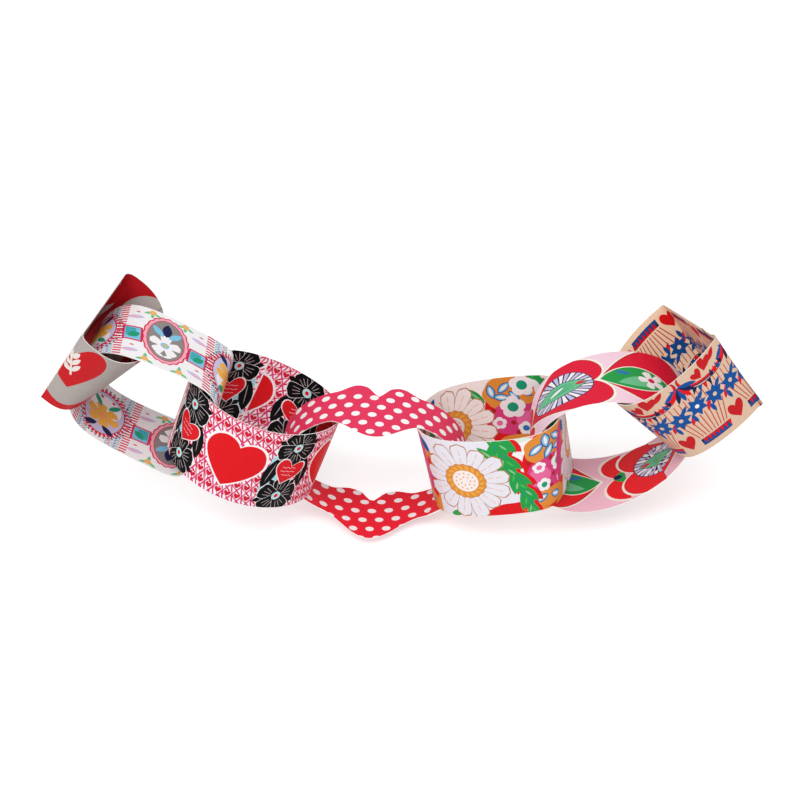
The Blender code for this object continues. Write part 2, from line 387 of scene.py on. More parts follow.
def lobed(x, y, width, height, lobes, depth, degrees=0.0, per_lobe=5):
    """An oval with a lobed edge, such as a scalloped frame or a round blossom."""
    turn = full_turn(lobes * per_lobe)
    wave = 1.0 - depth + depth * np.abs(np.cos(0.5 * lobes * turn)) ** 0.7
    return turned(np.column_stack([0.5 * width * wave * np.cos(turn), 0.5 * height * wave * np.sin(turn)]),
                  x, y, degrees)


def star(x, y, size, inner, points, degrees=0.0):
    turn = full_turn(2 * points)
    radius = np.where(np.arange(2 * points) % 2 == 0, 0.5 * size, 0.5 * inner)
    return turned(np.column_stack([radius * np.cos(turn), radius * np.sin(turn)]), x, y, degrees)


def wedge(x, y, base, height, degrees=0.0):
    """A triangle that stands on the middle of its base."""
    return turned([(-0.5 * base, 0.0), (0.5 * base, 0.0), (0.0, height)], x, y, degrees)


def ribbon(points, width):
    """A line of even width through points."""
    points = np.asarray(points, dtype=float)
    heading = np.gradient(points, axis=0)
    heading /= np.hypot(*heading.T)[:, None]
    side = 0.5 * width * np.column_stack([-heading[:, 1], heading[:, 0]])
    return np.vstack([points + side, (points - side)[::-1]])


def wavy(y, length):
    """A line that waves about its middle and drops a little from end to end."""
    run = np.linspace(0.0, 1.0, 17)
    start, end = np.array([-0.5 * length, y]), np.array([0.5 * length, y - 0.6])
    way = (end - start) / np.hypot(*(end - start))
    side = np.array([-way[1], way[0]])
    wave = 0.22 * np.sin(6.0 * np.pi * run)[:, None] * side
    return ribbon(start + run[:, None] * (end - start) + wave, 0.3)


# Motifs of several shapes

def sprig(x, y, length, degrees, ink):
    """A straight stem with three pairs of leaves and one at its tip."""
    shapes = [(ink, block(x, y, length, 0.9, degrees))]
    for share, size in ((-0.30, 0.52), (0.0, 0.50), (0.28, 0.42)):
        for side in SIDES:
            spot = turned([(length * (share + 0.16), side * 0.19 * length)], x, y, degrees)[0]
            shapes.append((ink, leaf(*spot, size * length, 0.2 * length, degrees + 46.0 * side)))
    tip = turned([(0.52 * length, 0.0)], x, y, degrees)[0]
    return shapes + [(ink, leaf(*tip, 0.4 * length, 0.17 * length, degrees))]


def petals(ink, x, y, number, first, start, reach, width, count):
    """Petals of one ink all round a point, from a first direction."""
    return [(ink, petal(x, y, start, reach, width, first + 360.0 / number * way, count))
            for way in range(number)]


def oval_of_teeth(ink, half_width, half_height, number, length, width):
    """Small blocks of one ink on an oval, each square to it."""
    shapes = []
    for turn in full_turn(number):
        out_x, out_y = math.cos(turn), math.sin(turn)
        way = math.degrees(math.atan2(out_y / half_height, out_x / half_width))
        shapes.append((ink, block(half_width * out_x, half_height * out_y, length, width, way)))
    return shapes


class Face:
    """One side of a strip: its first and last place, in mm from the mark, and the ring's length."""

    def __init__(self, strip, outside):
        self.outside = outside
        self.first, self.last = (end / MM for end in strip.span(outside))
        self.length = strip.length / MM

    def home(self, place):
        """The same place round the ring, counted so that it lies on this face."""
        return place + self.length * math.ceil((self.first - place) / self.length)

    def repeats(self, place, pitch, extra=1):
        """Places of a motif that comes round every pitch from one place, past both ends."""
        start = self.home(place)
        low = math.floor((self.first - start) / pitch) - extra
        high = math.ceil((self.last - start) / pitch) + extra
        return [start + pitch * number for number in range(low, high + 1)]

    def unwrap(self, place, near):
        """A place counted from the one that it started from."""
        return place - self.home(near) + near


# The prints. A unit of shapes is drawn round its own middle, and comes round every pitch. Each print
# gives the ground and the shapes of a face, lowest first

def placed(unit, x, y=0.0):
    return [(ink, outline + (x, y)) for ink, outline in unit]


def repeated(face, unit, first, pitch):
    """A unit at every place where it comes round."""
    return [shape for x in face.repeats(first, pitch) for shape in placed(unit, x)]


def slanted(shapes, lean):
    """Shapes that lean along the strip as they go across it."""
    return [(ink, outline + outline[:, 1:] * (lean, 0.0)) for ink, outline in shapes]


def cameo_print(face):
    """Stone ovals with a leafy sprig on a red heart, on red; inside, the same print on a deeper red ground,
    which is the cameo red darkened with painted shade of the ring's inside.
    """
    unit = [("stone", ellipse(7.6, 4.0, 42.0, 41.0, -8.0, 40)),
            ("cameo_red", heart(0.0, 5.0, 26.0, 24.0, 20.0, 40, 1.8))]
    unit += sprig(-0.8, 5.4, 11.0, 118.0, "bone")
    # Inside the ring the ground is a darker copy of the cameo red: painted shade, not a different print
    return "cameo_red" if face.outside else "deep_red", repeated(face, unit, 4.4, 45.0)


def medallion(up):
    """A round field with a yellow blossom, in a ring of red teeth and dark dots."""
    unit = oval_of_teeth("navy", 10.6, 15.6, 40, 0.8, 0.8) + oval_of_teeth("crimson", 9.2, 14.0, 36, 1.9, 1.3)
    unit += [("deep_red", ellipse(0.0, 0.0, 17.0, 26.6, 0.0, 36)),
             ("lilac", ellipse(0.0, 0.0, 16.2, 25.8, 0.0, 36)),
             ("porcelain", ellipse(0.0, -4.0 * up, 13.0, 14.0, 0.0, 30))]
    unit += petals("yellow", 0.0, 1.5 * up, 6, 15.0, 1.5, 7.0, 5.8, 8)
    unit.append(("pumpkin", disc(0.0, 1.5 * up, 4.2)))
    for side in SIDES:
        unit += [("navy", leaf(3.6 * side, 9.6 * up, 6.4, 3.0, 90.0 - 50.0 * side * up)),
                 ("jade", leaf(3.4 * side, -6.6 * up, 7.0, 2.4, 90.0 + 35.0 * side * up)),
                 ("crimson", disc(2.4 * side, -9.6 * up, 1.5, 10))]
    return unit


def cameo_frame(up):
    """A scalloped pink frame round a grey field with a spray of white and blue."""
    unit = [("crimson", lobed(0.0, 0.0, 21.6, 33.6, 20, 0.07)),
            ("rose", lobed(0.0, 0.0, 20.2, 32.2, 20, 0.07)),
            ("crimson", ellipse(0.0, 0.0, 17.2, 29.0, 0.0, 36)),
            ("grey", ellipse(0.0, 0.0, 16.4, 28.2, 0.0, 36))]
    unit += petals("petal", 0.0, -3.6 * up, 5, 90.0 * up, 0.8, 7.4, 6.4, 9)
    for side in SIDES:
        unit += [("sky", leaf(3.9 * side, 5.2 * up, 8.2, 3.2, 90.0 - 40.0 * side * up)),
                 ("petal", leaf(1.9 * side, -11.0 * up, 4.6, 1.6, 90.0 - 65.0 * side * up))]
    return unit + [("navy", leaf(0.0, 7.4 * up, 9.4, 4.4, 90.0)), ("sky", disc(0.0, -3.6 * up, 4.0)),
                   ("yellow", disc(0.0, -3.6 * up, 2.0))]


def gem(side):
    """A framed gem with a leaf on it, and a lilac leaf above and below."""
    lean = 4.0 * side
    unit = [("crimson", block(0.0, 1.5, 8.8, 10.6, lean)), ("sky", block(0.0, 1.5, 7.0, 8.8, lean)),
            ("teal", block(0.8, 0.6, 4.6, 6.0, lean)), ("jade", leaf(-0.6, 2.2, 6.2, 3.6, 40.0))]
    for row in (-11.4, 14.0):
        unit += [("lilac", leaf(0.0, row, 8.2, 2.6, 3.0 * lean)),
                 ("rose", leaf(side, row + 0.4, 6.0, 1.1, 3.0 * lean)),
                 ("crimson", leaf(-0.6, row - 3.9, 2.2, 0.9))]
    return unit


def combed_columns(side):
    """A column of red dashes, and five columns of slanted hatching after it."""
    unit = [("crimson", block(side * 19.8, row, 3.6, 0.95, 8.0 * side))
            for row in np.arange(-19.2, 20.0, 1.9)]
    for row in np.arange(-19.4, 20.0, 1.3):
        for column, ink in enumerate(("teal", "royal", "sky", "crimson", "teal")):
            odd = column % 2
            hatch = side * (22.4 + 1.3 * column)
            unit.append((ink, block(hatch, row + 0.6 * odd, 1.4, 0.55, 35.0 - 70.0 * odd)))
    return unit


def yellow_buds():
    """A yellow bud with three leaves near each edge of the strip."""
    unit = []
    for row, middle_way in ((-17.5, 90.0), (17.2, -90.0)):
        for way, size in ((25.0, 4.4), (middle_way, 4.0), (155.0, 4.4)):
            unit.append(("mint", leaf(*around(0.0, row, 2.2, way), size, 1.6, way)))
        unit += [("yellow", lobed(0.0, row, 3.4, 3.4, 5, 0.25, 0.0, 3)), ("rose", disc(0.0, row, 1.1, 8))]
    return unit


def medallion_print(face):
    """Scalloped frames and medallions by turns, with combed columns and gems between them."""
    first, pitch, up, lean = (3.6, 64.0, -1.0, -0.22) if face.outside else (113.0, 66.0, 1.0, 0.10)
    unit = []
    for side in SIDES:
        unit += placed(gem(side), side * 14.6) + combed_columns(side) + placed(yellow_buds(), side * 7.6)
    rounds = [(ink, outline * (1.2, 1.08)) for ink, outline in placed(medallion(up), 0.0, 0.5)]
    ovals = placed(cameo_frame(up), 0.0, -1.0) + placed(rounds, 0.5 * pitch)
    shapes = repeated(face, unit, first, pitch) + repeated(face, ovals, first, pitch)
    return "porcelain", slanted(shapes, lean)


def black_posy():
    """Two black blossoms and black leaves round a red heart, on turquoise hatching."""
    unit = []
    for row in range(-6, 7):
        unit += [("turquoise", block(-5.6, 1.5 * row, 10.0, 1.25, 24.0)),
                 ("sky", block(-5.6, 1.5 * row - 0.75, 9.6, 0.3, 24.0))]
    for side in SIDES:
        way = 90.0 + 9.0 * side
        unit += [("black", leaf(8.2 * side, -1.0, 17.0, 6.0, way, 13)),
                 ("stone", leaf(8.2 * side, -1.0, 11.0, 0.4, way))]
    for y, first in ((12.4, 54.0), (-13.4, 18.0)):
        for way in range(0, 360, 72):
            way += first
            unit += [("black", leaf(*around(0.0, y, 7.0, way + 36.0), 8.0, 3.4, way + 36.0)),
                     ("petal", petal(0.0, y, 0.5, 9.9, 10.5, way, 13)),
                     ("black", petal(0.0, y, 0.5, 9.6, 9.9, way, 13))]
            unit += [("stone", block(*around(0.0, y, 5.2, way + fan), 3.6, 0.28, way + fan))
                     for fan in (-16.0, 0.0, 16.0)]
        unit += [("turquoise", disc(0.0, y, 4.4)), ("red", disc(0.0, y, 2.0, 12))]
    unit += [("petal", heart(0.2, -0.6, 15.2, 13.4, -12.0)), ("red", heart(0.2, -0.6, 14.2, 12.4, -12.0))]
    return unit + [("rose", wavy(row, length)) for row, length in ((2.2, 7.0), (0.2, 7.6), (-1.8, 5.2))]


# The trellis: its columns lean a little across the strip
TRELLIS_PITCH = 4.45
TRELLIS_ROW = 5.3
TRELLIS_LEAN = -0.36
TRELLIS_TOP = 15.4
TRELLIS_REACH = 21.0


def trellis_lines(columns, low=-1000.0, high=1000.0):
    """The three sets of lines, as far as they lie between two distances along the strip."""
    lines = []
    steep = TRELLIS_PITCH / TRELLIS_ROW
    sets = ((0.0, "magenta", 0.72), (steep, "magenta", 0.76), (-steep, "crimson", 0.76))
    for x in columns:
        for slant, ink, width in sets:
            middle = x - slant * TRELLIS_TOP
            run = TRELLIS_LEAN + slant
            ends = sorted(((low - middle) / run, (high - middle) / run))
            bottom, top = max(ends[0], -TRELLIS_REACH), min(ends[1], TRELLIS_REACH)
            if bottom < top:
                line = [(middle + run * bottom, bottom), (middle + run * top, top)]
                lines.append((ink, ribbon(line, width)))
    return lines


def trellis_print(face):
    """A trellis of three sets of lines with small hearts in rows, under big hearts and black posies.
    Inside, the pattern starts again where the strip was cut."""
    first, to_posy = (-14.0, 25.4) if face.outside else (95.0, -26.4)
    unit = [("petal", plump_heart(0.0, -1.4, 28.4, 26.6, -4.0, 18)),
            ("red", plump_heart(0.0, -1.4, 26.4, 24.6, -4.0, 18))]
    big = repeated(face, unit + placed(black_posy(), to_posy), first, 51.0)
    columns = face.repeats(-24.3 - TRELLIS_LEAN * TRELLIS_TOP, TRELLIS_PITCH, extra=8)
    if not face.outside:
        cut = face.home(89.6)
        big.append(("petal", block(cut + 11.0, 0.0, 22.6, FULL_WIDTH)))
        big += trellis_lines([x + 1.6 for x in columns], cut + 0.2, cut + 22.0)
        big.append(("petal", block(cut, 0.0, 0.6, FULL_WIDTH)))
        big += placed(black_posy(), cut + 11.4)
    small = []
    for row in range(-1, 8):
        y = TRELLIS_TOP - 0.3 - TRELLIS_ROW * row
        for column in columns:
            x = column + 0.5 * TRELLIS_PITCH + TRELLIS_LEAN * y
            if not any(inside(np.array([[x, y]]), outline)[0] for _, outline in big):
                small += [("pale_pink", heart(x, y, 3.7, 3.6, 0.0, 12)),
                          ("deep_crimson", heart(x, y + 0.1, 3.1, 3.0, 0.0, 12))]
    return "petal", trellis_lines(columns) + small + big


def dots_print(face):
    """White dots in staggered rows on red."""
    shapes = []
    outside = face.outside
    apart, row_pitch, lean = (7.0, 6.7, -0.12) if outside else (7.15, 7.7, -0.15)
    base_x, base_y = (1.9, -7.6) if outside else (107.6, 7.0)
    for row in range(-5, 8):
        for x in face.repeats(base_x + 0.5 * apart * (row % 2), apart):
            beyond = face.unwrap(x, base_x) - base_x
            y = base_y + row_pitch * row + lean * beyond
            if not outside or y > -12.5 or beyond < -1.0:
                shapes.append(("dot_white", disc(x, y, 3.7)))
    return "dot_crimson" if outside else "dot_red", shapes


def daisy(petal_ink):
    """A big daisy: thirteen petals with brush strokes, round a seeded middle with a twisted rim."""
    unit = []
    for number in range(13):
        way = 6.0 + number * 360.0 / 13.0
        reach = 19.5 + 1.2 * math.sin(2.1 * number)
        unit += [("brown", petal(0.0, 0.0, 6.0, reach + 0.3, 9.1, way)),
                 (petal_ink, petal(0.0, 0.0, 5.5, reach - 0.2, 8.3, way))]
        unit += [("pumpkin", block(*around(0.0, 0.0, out, way), 3.0, 0.26, way + 3.0))
                 for out in (11.0, 15.0)]
    unit += [("brown", lobed(0.0, 0.0, 18.6, 18.6, 17, 0.09)),
             ("orange", lobed(0.0, 0.0, 18.0, 18.0, 17, 0.09))]
    for number in range(17):
        way = 360.0 * (number + 0.5) / 17.0
        unit.append(("yellow", leaf(*around(0.0, 0.0, 7.2, way), 2.8, 1.2, way + 40.0)))
    unit.append(("petal_pink", disc(0.0, 0.0, 11.4, 28)))
    for out, seeds in ((4.1, 12), (2.2, 7)):
        for seed in range(seeds):
            unit.append(("pumpkin", disc(*around(0.0, 0.0, out, 360.0 * seed / seeds), 0.85, 8)))
    return unit


def lobed_leaf(x, y, length, width, degrees):
    """A bright leaf that tapers, with lobes that sweep towards its tip, brush strokes and a red edge."""
    lobes = 5
    sides = []
    for side, lag in ((1.0, 0.0), (-1.0, 0.25)):
        line = [(-0.5, 0.28)]
        for number in range(lobes):
            start = (number + lag) / lobes
            full = 0.5 * (1.0 - 0.62 * start) * (0.9 + 0.1 * math.sin(5.0 * number))
            for step, share in ((0.12, 0.50), (0.45, 0.86), (0.80, 1.0), (1.10, 0.96), (0.96, 0.56)):
                line.append((start + step / lobes - 0.5, full * share))
        line.append((0.5, 0.04))
        line = np.array([(along, out) for along, out in line if along <= 0.5])
        sway = 1.1 * np.sin(7.0 * line[:, 0])
        sides.append(np.column_stack([line[:, 0] * length, side * line[:, 1] * width + sway]))
    edge = np.vstack([sides[0], sides[1][::-1]])
    unit = [("red", turned(edge * (1.0, 1.12) + (0.6, 1.5), x, y, degrees)),
            ("green", turned(edge, x, y, degrees))]
    for number in range(-5, 5):
        for side in SIDES:
            along = 0.095 * number + 0.01 * side
            reach = (0.10 + 0.05 * math.sin(3.0 * number + side)) * width * (1.0 - 0.5 * (along + 0.5))
            spot = turned([(along * length, 1.1 * math.sin(7.0 * along) + side * reach)], x, y, degrees)[0]
            ink = ("leaf_pale", "jade", "leaf_bright")[(number + int(side)) % 3]
            unit.append((ink, leaf(*spot, 4.2, 0.9, degrees + 28.0 * side)))
    return unit


def blossom_patch(outside):
    """Blossoms on magenta and blue-rimmed leaves on orange, framed in red and white."""
    unit = [("petal", lobed(-7.0, 8.0, 17.0, 22.0, 9, 0.1)), ("red", lobed(1.0, 1.0, 26.0, 43.0, 9, 0.08)),
            ("orange", lobed(1.5, 12.0, 24.0, 18.5, 7, 0.08)),
            ("magenta", lobed(0.5, -1.5, 24.0, 18.0, 8, 0.1)),
            ("hot_pink", lobed(-5.0, -2.5, 11.0, 10.0, 6, 0.12)),
            ("orange", lobed(0.0, -14.0, 22.0, 9.5, 7, 0.1))]
    for x, y, turn in ((-5.4, 12.2, 40.0), (-1.6, 15.4, 95.0), (3.6, 14.8, 140.0), (5.2, 10.0, 10.0),
                       (-0.4, 9.6, 60.0), (9.4, 13.4, 80.0), (-5.4, -13.6, 20.0), (3.6, -14.2, 160.0)):
        for ink, length, width in (("royal", 7.8, 3.9), ("sky", 6.6, 2.9), ("petal", 4.8, 1.4)):
            unit.append((ink, leaf(x, y, length, width, turn)))
    for x, y in ((-9.0, 6.0), (0.4, 5.6), (-8.4, -4.6), (2.0, -3.4), (0.6, -8.6), (9.6, 3.6)):
        unit.append(("deep_red", lobed(x, y, 2.4, 2.4, 4, 0.3, 0.0, 3)))
    if outside:
        blossoms = ((5.2, 2.0, 9.2, "jade"), (-5.0, 2.6, 6.0, "hot_pink"), (-3.4, -7.0, 7.0, "jade"),
                    (7.2, -7.0, 5.2, "blue"))
    else:
        blossoms = ((1.0, 4.6, 11.5, "jade"), (-4.6, 15.4, 11.5, "jade"), (-3.0, -6.6, 7.0, "blue"),
                    (8.0, -3.0, 6.4, "hot_pink"))
    for x, y, size, centre in blossoms:
        unit += [("petal", lobed(x, y, size, size, 5, 0.2, 20.0, 6)), (centre, disc(x, y, 0.42 * size))]
    return unit


def daisy_print(face):
    """Big daisies, lobed leaves and patches of small blossoms."""
    if face.outside:
        ground, first, spin, to_patch = "petal_cool", -12.6, 1.0, 37.0
    else:
        ground, first, spin, to_patch = "petal_pink", -71.4, -1.0, -29.0
    unit = [("red", lobed(spin * 22.0, -20.0, 34.0, 13.0, 9, 0.1))]
    if face.outside:
        unit += [("orange", block(38.0, -4.0, 26.0, 34.0, -8.0)),
                 ("rose", lobed(27.4, 10.0, 14.0, 25.0, 7, 0.12)),
                 ("leaf_wash", lobed(26.6, 9.6, 12.0, 23.0, 7, 0.12))]
    else:
        unit += lobed_leaf(-45.5, -1.0, 47.0, 12.0, -105.0)
    unit += [("magenta", lobed(-spin * 21.5, 4.0, 6.5, 30.0, 9, 0.1)),
             ("royal", leaf(-spin * 17.6, 14.5, 9.0, 4.4, -50.0))]
    unit += placed(blossom_patch(face.outside), to_patch)
    if face.outside:
        unit += lobed_leaf(21.6, -1.0, 47.0, 15.0, -77.0)
    unit += [("green", leaf(spin * 12.4, 12.6, 12.0, 3.8, -48.0 * spin)),
             ("leaf_pale", leaf(spin * 12.4, 12.6, 8.0, 0.9, -48.0 * spin)),
             ("green", leaf(-spin * 8.0, -18.5, 7.0, 3.0, 15.0))]
    return ground, repeated(face, unit + placed(daisy(ground), 0.0, -1.0), first, 66.0)


HEART_LENGTH = 41.0


def lying_heart(ink):
    """A big heart that lies along the strip with its tip towards the end."""
    return [("cream", plump_heart(0.0, 0.0, 43.6, HEART_LENGTH + 2.2, 90.0)),
            ("deep_red", plump_heart(0.0, 0.0, 41.8, HEART_LENGTH, 90.0)),
            (ink, plump_heart(-0.3, 0.0, 41.0, HEART_LENGTH - 1.2, 90.0))]


def leafy_heart(ink):
    """A lying heart with a green leaf and a white flower on it."""
    unit = lying_heart(ink) + [("cream", leaf(4.0, 0.0, 33.6, 17.4, 0.0, 15)),
                               ("green", leaf(4.0, 0.0, 32.0, 16.2, 0.0, 15)),
                               ("mint", leaf(2.0, 2.0, 22.0, 7.4, 8.0, 11))]
    unit += petals("petal", -3.0, 0.0, 5, 0.0, 0.6, 6.2, 4.8, 8)
    return unit + [("crimson", disc(-3.0, 0.0, 3.0)), ("blue", leaf(9.0, -4.0, 7.0, 2.4, 160.0)),
                   ("black", leaf(-11.0, 3.0, 6.0, 2.0, 120.0))]


def fan_heart(ink):
    """A lying heart with a striped fan and a pale green leaf on it."""
    unit = lying_heart(ink) + [("navy", ellipse(0.0, -1.0, 29.4, 25.4, 0.0, 40))]
    rays = 30
    for number in range(rays):
        turns = (2.0 * math.pi * number / rays, 2.0 * math.pi * (number + 0.72) / rays)
        corners = [(14.3 * math.cos(turn), 12.3 * math.sin(turn) - 1.0) for turn in turns]
        unit.append((("lilac", "petal")[number % 2], np.array([(0.0, -1.0)] + corners)))
    unit += [("navy", leaf(0.5, -1.0, 26.0, 11.6, 0.0, 13)), ("mint", leaf(0.5, -1.0, 25.0, 10.6, 0.0, 13))]
    for offset in (-2.6, -1.0, 0.8, 2.4):
        unit.append(("jade", leaf(0.5, offset - 1.0, 18.0 - 2.0 * abs(offset), 0.75)))
    return unit + [("petal", leaf(2.0, -1.0, 8.0, 2.0, 20.0)), ("crimson", leaf(-9.0, -1.0, 4.6, 2.6))]


def cut_heart(ink):
    """The two lobes of a lying heart that the end of a strip cuts off, and the bare card after them."""
    return [("cream", plump_heart(10.6, 0.0, 41.0, 43.2, 90.0)),
            (ink, plump_heart(10.6, 0.0, 38.6, 40.6, 90.0)),
            ("green", leaf(-1.4, 0.0, 8.0, 8.0)), ("navy", ellipse(-3.4, -0.6, 3.8, 3.4)),
            ("pink_within", block(20.0, 0.0, 40.0, FULL_WIDTH))]


def hearts_print(face):
    """Big red hearts in a row on pink, each with its tip in the notch of the next."""
    if face.outside:
        unit = fan_heart("heart_crimson") + placed(leafy_heart("heart_crimson"), -37.5)
        return "pink", repeated(face, unit, 18.2, 75.0)
    pitch, middle, to_cut = 50.0, 70.4, 31.4
    cut = cut_heart("heart_red")
    cuts = repeated(face, placed(cut, to_cut - pitch) + placed(cut, to_cut), middle, 2.0 * pitch)
    unit = leafy_heart("heart_red") + placed(fan_heart("heart_red"), pitch)
    return "pink_within", slanted(cuts + repeated(face, unit, middle, 2.0 * pitch), -0.14)


def pennants(start, end, flags):
    """Six pennants that hang from a slack string between two places."""
    count, sag, size = 6, 2.2, 3.6
    run = np.linspace(0.0, 1.0, 2 * count + 1)
    line = np.column_stack([start[0] + run * (end[0] - start[0]),
                            start[1] + run * (end[1] - start[1]) - sag * np.sin(np.pi * run)])
    unit = [("navy", ribbon(line, 0.45))]
    for number in range(count):
        ahead = line[2 * number + 2] - line[2 * number]
        lean = math.degrees(math.atan2(ahead[1], ahead[0]))
        flag = wedge(*line[2 * number + 1], 0.92 * np.hypot(*ahead), size, lean + 180.0)
        unit.append((flags[number % len(flags)], flag))
    return unit


def leafy_stars(ground):
    """Three stars in a row, each with three leaves."""
    unit = []
    for x, y, turn, centre in ((-9.0, 0.6, 0.0, ground), (0.0, 2.2, 12.0, "petal"), (9.0, 1.2, 24.0, ground)):
        unit += [("red", leaf(x + 4.5, y - 3.0, 6.4, 2.0, 60.0)),
                 ("royal", leaf(x - 3.6, y - 4.6, 5.4, 1.9, 100.0)),
                 ("royal", leaf(x + 3.4, y + 3.6, 5.4, 1.9, 40.0)), ("royal", star(x, y, 10.4, 6.0, 7, turn)),
                 (centre, disc(x, y, 2.0, 12))]
    return unit


def bunting_print(face):
    """Bunting, lines, zigzag bars, hearts and leafy stars on tan."""
    ground, first = ("tan", 16.5) if face.outside else ("warm_tan", -64.0)
    flags = ("royal", "red", "navy")
    unit = [("navy", block(0.0, -15.4, 15.4, 3.7))]
    for number in range(7):
        x = 2.2 * number - 6.6
        unit += [("royal", wedge(x, -17.1, 2.2, 2.9)), ("red", wedge(x + 1.1, -13.7, 2.2, 2.9, 180.0))]
    for number in range(10):
        lean = (number - 4.5) / 4.5
        unit.append(("line_red", ribbon([(7.2 * lean, -12.8), (11.0 * lean, -2.0)], 0.46)))
    for number in range(12):
        x = 2.25 * number - 12.4
        unit.append(("line_red", ribbon([(x, 8.8), (x, 3.0)], 0.38)))
    unit += leafy_stars(ground)
    for side in SIDES:
        unit += pennants((-2.0, 15.4), (side * 13.5 - 2.0, 9.2), flags)
    unit += [("navy", ellipse(11.5, 17.4, 26.4, 15.4, 0.0, 36)),
             ("red", ellipse(11.5, 17.6, 25.8, 14.6, 0.0, 36)),
             (ground, ellipse(11.5, 18.2, 24.2, 13.8, 0.0, 36))]
    for number in range(7):
        unit.append((flags[number % 3], turned(leaf(4.2, 0.0, 8.4, 2.2), -2.0, 16.2, 22.0 * number - 156.0)))
    unit += [("cameo_red", heart(12.0, 16.6, 6.4, 6.6, -25.0)),
             ("cameo_red", heart(7.2, 14.6, 5.0, 5.2, 20.0)),
             ("cameo_red", leaf(16.8, 17.4, 6.0, 2.4, 40.0))]
    if face.outside:
        unit.append(("cameo_red", heart(13.4, -12.6, 8.2, 8.2)))
        return ground, repeated(face, unit, first, 27.0)
    unit.append(("red", heart(-13.2, -12.6, 8.4, 8.4, 180.0)))
    return ground, [(ink, outline * (1.0, -1.0)) for ink, outline in repeated(face, unit, first, 27.0)]


PRINTS = [cameo_print, medallion_print, trellis_print, dots_print, daisy_print, hearts_print, bunting_print]


# From flat outlines to bent card

def inside(points, outline):
    """Which points lie inside an outline, by counting its crossings."""
    x, y = points[:, 0][:, None], points[:, 1][:, None]
    x0, y0 = outline[:, 0][None], outline[:, 1][None]
    x1, y1 = np.roll(outline[:, 0], -1)[None], np.roll(outline[:, 1], -1)[None]
    spans = (y0 > y) != (y1 > y)
    rise = np.where(y1 == y0, 1.0, y1 - y0)
    return (spans & (x < (x1 - x0) * (y - y0) / rise + x0)).sum(axis=1) % 2 == 1


class Drawing:
    """The flat print of one face, cut into triangles that each hold one ink."""

    def __init__(self, strip, outside, draw):
        self.strip = strip
        face = Face(strip, outside)
        self.first, self.last = face.first, face.last
        self.ground, shapes = draw(face)
        self.shapes = [(ink, outline) for ink, outline in shapes if self.touches(outline)]
        self.points, self.lines = [], []
        self.add_columns()
        for _, outline in self.shapes:
            self.add_loop(self.clipped(outline))
        self.cut()

    def touches(self, outline):
        return outline[:, 0].max() > self.first and outline[:, 0].min() < self.last

    def clipped(self, outline):
        """The outline kept within a margin of the strip, so that nothing is cut far outside it."""
        along = np.clip(outline[:, 0], self.first - PAST_ENDS, self.last + PAST_ENDS)
        return np.column_stack([along, np.clip(outline[:, 1], -CLIP_ACROSS, CLIP_ACROSS)])

    def add_loop(self, outline):
        start = len(self.points)
        count = len(outline)
        self.points += [Vector(point) for point in outline.tolist()]
        self.lines += [(start + number, start + (number + 1) % count) for number in range(count)]

    def add_columns(self):
        """Lines across the strip at which the card bends, and its two edges."""
        count = int((self.last - self.first) / COLUMN_MM)
        columns = np.linspace(self.first, self.last, count + 1)
        low, high = (edge / MM for edge in self.strip.edges(columns * MM))
        start = len(self.points)
        for x, bottom, top in zip(columns.tolist(), low.tolist(), high.tolist()):
            self.points += [Vector((x, bottom)), Vector((x, top))]
        for number in range(count + 1):
            self.lines.append((start + 2 * number, start + 2 * number + 1))
            if number < count:
                self.lines.append((start + 2 * number, start + 2 * number + 2))
                self.lines.append((start + 2 * number + 1, start + 2 * number + 3))

    def cut(self):
        points, _, faces, _, _, _ = delaunay_2d_cdt(self.points, self.lines, [], 0, MERGE_MM, False)
        points = np.array([tuple(point) for point in points])
        faces = np.array([tuple(face) for face in faces])
        middle = points[faces].mean(axis=1)
        low, high = (edge / MM for edge in self.strip.edges(middle[:, 0] * MM))
        keep = (middle[:, 0] > self.first) & (middle[:, 0] < self.last)
        keep &= (middle[:, 1] > low) & (middle[:, 1] < high)
        faces, middle = faces[keep], middle[keep]
        inks = np.full(len(faces), self.ground, dtype=object)
        open_faces = np.ones(len(faces), dtype=bool)
        for ink, outline in reversed(self.shapes):
            near = open_faces & (middle[:, 0] > outline[:, 0].min()) & (middle[:, 0] < outline[:, 0].max())
            near &= (middle[:, 1] > outline[:, 1].min()) & (middle[:, 1] < outline[:, 1].max())
            rows = np.flatnonzero(near)
            if len(rows):
                hit = rows[inside(middle[rows], outline)]
                inks[hit] = ink
                open_faces[hit] = False
        used, faces = np.unique(faces, return_inverse=True)
        self.flat, self.faces, self.inks = points[used] * MM, faces.reshape(-1, 3), inks


